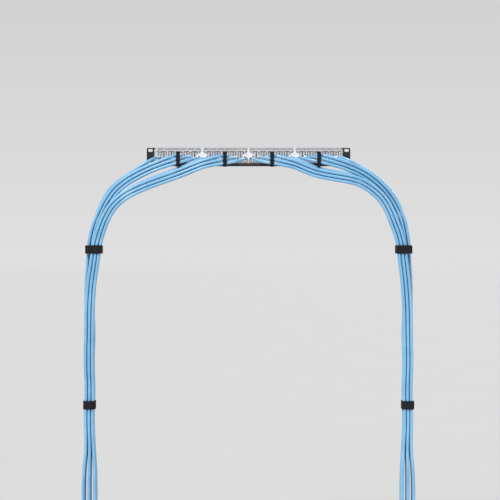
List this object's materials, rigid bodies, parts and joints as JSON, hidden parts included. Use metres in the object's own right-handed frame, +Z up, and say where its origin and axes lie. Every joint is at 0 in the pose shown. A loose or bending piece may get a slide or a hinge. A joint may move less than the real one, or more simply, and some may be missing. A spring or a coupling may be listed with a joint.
{
  "type": "network patch panel",
  "caption": "Rack-mount patch panel, one unit high: a row of shielded jacks in a slotted face plate, flip-up label covers, and blue cable bundles tied to a rear cable bar.",
  "frame": {"origin": "centre of the four rack slots, on the rear face of the ears", "axes": "+Z up, +Y out of the front with the ports, -Y to the rear where the cables leave, +X to the right as seen from behind"},
  "size_m": [0.7714, 0.1331, 0.8593],
  "materials": {
    "plate_paint": "fine textured black powder coat",
    "housing_steel": "satin zinc-plated sheet",
    "bar_steel": "black powder-coated steel bar",
    "screw_steel": "bright zinc",
    "bezel_plastic": "fine-grained black plastic",
    "jack_metal": "nickel-plated die casting",
    "cap_metal": "nickel-plated die casting",
    "contact_plastic": "black plastic with gold contacts",
    "white_plastic": "white plastic",
    "holder_plastic": "black plastic",
    "label_paper": "white card",
    "rear_label_paper": "grey label stock with a white border",
    "clear_plastic": "clear plastic",
    "hook_loop": "black hook-and-loop webbing",
    "cable_jacket": "sky-blue cable jacket",
    "boot_plastic": "blue moulded boot",
    "plug_plastic": "clear and nickel plug"
  },
  "bodies": {
    "panel": {"front_plate": "plate_paint", "rear_rail": "housing_steel", "lower_shelf": "housing_steel", "side_bracket_left": "housing_steel", "side_bracket_right": "housing_steel", "cable_bar": "bar_steel", "bar_screws": "screw_steel", "contact_blocks": "contact_plastic", "port_bezel_1": "bezel_plastic", "jack_housings_1": "jack_metal", "jack_caps_1": "cap_metal", "label_holder_1": "holder_plastic", "label_card_1": "label_paper", "rear_label_1": "rear_label_paper", "tie_1": "hook_loop", "cable_bundle_1": "cable_jacket", "port_bezel_2": "bezel_plastic", "jack_housings_2": "jack_metal", "jack_caps_2": "cap_metal", "label_holder_2": "holder_plastic", "label_card_2": "label_paper", "rear_label_2": "rear_label_paper", "tie_2": "hook_loop", "cable_bundle_2": "cable_jacket", "port_bezel_3": "bezel_plastic", "jack_housings_3": "jack_metal", "jack_caps_3": "cap_metal", "label_holder_3": "holder_plastic", "label_card_3": "label_paper", "rear_label_3": "rear_label_paper", "tie_3": "hook_loop", "cable_bundle_3": "cable_jacket", "port_bezel_4": "bezel_plastic", "jack_housings_4": "jack_metal", "jack_caps_4": "cap_metal", "label_holder_4": "holder_plastic", "label_card_4": "label_paper", "rear_label_4": "rear_label_paper", "tie_4": "hook_loop", "cable_bundle_4": "cable_jacket", "module_post_1": "white_plastic", "module_post_2": "white_plastic", "module_post_3": "white_plastic", "strap_upper_left": "hook_loop", "strap_lower_left": "hook_loop", "boots_left": "boot_plastic", "plugs_left": "plug_plastic", "strap_upper_right": "hook_loop", "strap_lower_right": "hook_loop", "boots_right": "boot_plastic", "plugs_right": "plug_plastic"},
    "label_cover_1": {"label_cover_1": "clear_plastic"},
    "label_cover_2": {"label_cover_2": "clear_plastic"},
    "label_cover_3": {"label_cover_3": "clear_plastic"},
    "label_cover_4": {"label_cover_4": "clear_plastic"}
  },
  "joints": [
    {"name": "label_cover_1_flip", "type": "hinge", "parent": "panel", "child": "label_cover_1", "pos_m": [-0.1629, 0.0047, 0.0188], "axis": [1, 0, 0], "range_deg": [0, 115]},
    {"name": "label_cover_2_flip", "type": "hinge", "parent": "panel", "child": "label_cover_2", "pos_m": [-0.0543, 0.0047, 0.0188], "axis": [1, 0, 0], "range_deg": [0, 115]},
    {"name": "label_cover_3_flip", "type": "hinge", "parent": "panel", "child": "label_cover_3", "pos_m": [0.0543, 0.0047, 0.0188], "axis": [1, 0, 0], "range_deg": [0, 115]},
    {"name": "label_cover_4_flip", "type": "hinge", "parent": "panel", "child": "label_cover_4", "pos_m": [0.1629, 0.0047, 0.0188], "axis": [1, 0, 0], "range_deg": [0, 115]}
  ]
}
